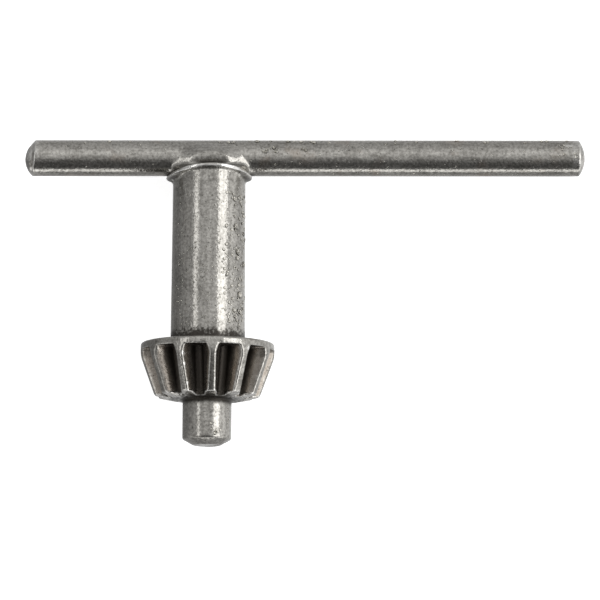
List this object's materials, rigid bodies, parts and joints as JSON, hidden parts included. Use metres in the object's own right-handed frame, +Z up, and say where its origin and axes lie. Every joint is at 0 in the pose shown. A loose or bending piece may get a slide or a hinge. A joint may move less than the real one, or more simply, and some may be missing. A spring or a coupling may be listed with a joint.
{
  "type": "drill chuck key",
  "caption": "T-shaped key for a geared drill chuck: round bar welded across a forged shank with a bevel pinion and a plain round pilot.",
  "frame": {"origin": "on the floor that the key lies on, in the middle of its outline seen from above", "axes": "+Z up from the floor, +X along the handle bar towards its long arm, -Y from the bar towards the pilot; the key lies on its side, with the pilot's end raised 7.3 degrees and the long arm's end 3.7 degrees down"},
  "size_m": [0.0688, 0.0376, 0.0164],
  "materials": {
    "drawn_bar_steel": "bare drawn steel bar, dull and mottled, with an oily film",
    "forged_key_steel": "bare forged and turned steel, tumbled, finely pitted, dark in the tooth gaps, with an oily film"
  },
  "bodies": {
    "root": {"handle_bar": "drawn_bar_steel", "key_body": "forged_key_steel"}
  },
  "joints": []
}
